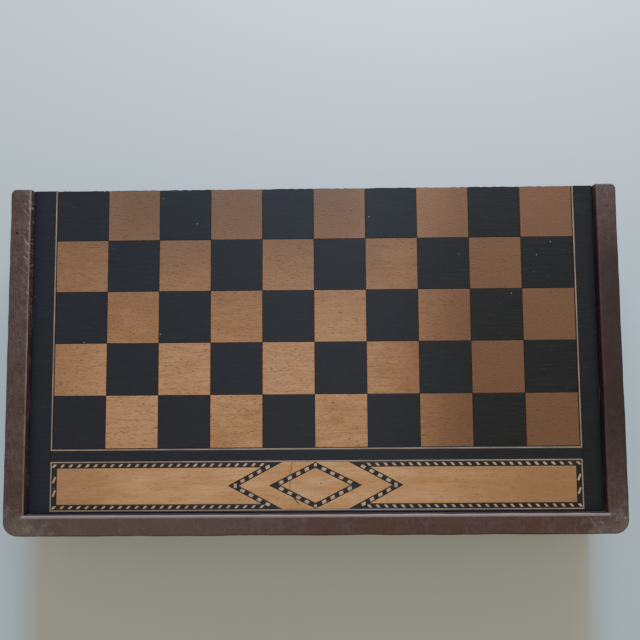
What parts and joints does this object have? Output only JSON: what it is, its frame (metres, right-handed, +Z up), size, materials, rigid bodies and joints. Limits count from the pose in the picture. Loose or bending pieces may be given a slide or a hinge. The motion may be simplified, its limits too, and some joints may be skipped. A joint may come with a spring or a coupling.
{
  "type": "folding games board box",
  "caption": "Folding wooden games box: each outer face is half an inlaid draughts board, and the trays inside hold the table game's points and the men.",
  "frame": {"origin": "middle of the closed box's footprint, on the surface that it stands on", "axes": "+X to the right along the rows of squares, +Y to the back, where the hinges are, +Z up"},
  "size_m": [0.5132, 0.2976, 0.0864],
  "materials": {
    "mahogany": "worn satin polish",
    "black_veneer": "worn polish on stained veneer",
    "light_veneer": "worn polish",
    "string_wood": "worn polish",
    "deal": "unfinished softwood",
    "brass": "dulled",
    "steel": "dark and dull",
    "boxwood": "polished",
    "ebonised": "polished"
  },
  "bodies": {
    "base": {"base_back_rail": "mahogany", "base_band_ground": "light_veneer", "base_band_string": "string_wood", "base_banding_left": "black_veneer", "base_banding_right": "black_veneer", "base_dark_squares": "black_veneer", "base_diamond": "black_veneer", "base_divider": "mahogany", "base_field_string": "string_wood", "base_front_rail": "mahogany", "base_hinge_leaf_1": "brass", "base_hinge_leaf_2": "brass", "base_hinge_screw_1a": "brass", "base_hinge_screw_1b": "brass", "base_hinge_screw_2a": "brass", "base_hinge_screw_2b": "brass", "base_left_rail": "mahogany", "base_light_squares": "light_veneer", "base_panel": "deal", "base_points_left": "black_veneer", "base_points_right": "black_veneer", "base_right_rail": "mahogany", "base_surround": "black_veneer", "hinge_pin_1": "brass", "hinge_pin_2": "brass", "hook_screw_left": "brass", "hook_screw_right": "brass", "men_dark": "ebonised", "men_light": "boxwood"},
    "lid": {"lid_back_rail": "mahogany", "lid_band_ground": "light_veneer", "lid_band_string": "string_wood", "lid_banding_left": "black_veneer", "lid_banding_right": "black_veneer", "lid_dark_squares": "black_veneer", "lid_diamond": "black_veneer", "lid_divider": "mahogany", "lid_field_string": "string_wood", "lid_front_rail": "mahogany", "lid_hinge_leaf_1": "brass", "lid_hinge_leaf_2": "brass", "lid_hinge_screw_1a": "brass", "lid_hinge_screw_1b": "brass", "lid_hinge_screw_2a": "brass", "lid_hinge_screw_2b": "brass", "lid_left_rail": "mahogany", "lid_light_squares": "light_veneer", "lid_panel": "deal", "lid_panel_pin_1": "steel", "lid_panel_pin_2": "steel", "lid_panel_pin_3": "steel", "lid_points_left": "black_veneer", "lid_points_right": "black_veneer", "lid_right_rail": "mahogany", "lid_surround": "black_veneer", "stud_left": "brass", "stud_right": "brass"},
    "hook_left": {"hook_left": "brass"},
    "hook_right": {"hook_right": "brass"}
  },
  "joints": [
    {"name": "lid_hinge", "type": "hinge", "parent": "base", "child": "lid", "pos_m": [0, 0.14625, 0.0432], "axis": [-1, 0, 0], "range_deg": [0, 180]},
    {"name": "hook_left_swing", "type": "hinge", "parent": "base", "child": "hook_left", "pos_m": [-0.15255, -0.14465, 0.0315], "axis": [0, 1, 0], "range_deg": [0, 180]},
    {"name": "hook_right_swing", "type": "hinge", "parent": "base", "child": "hook_right", "pos_m": [0.15255, -0.14465, 0.0315], "axis": [0, 1, 0], "range_deg": [0, 180]}
  ]
}
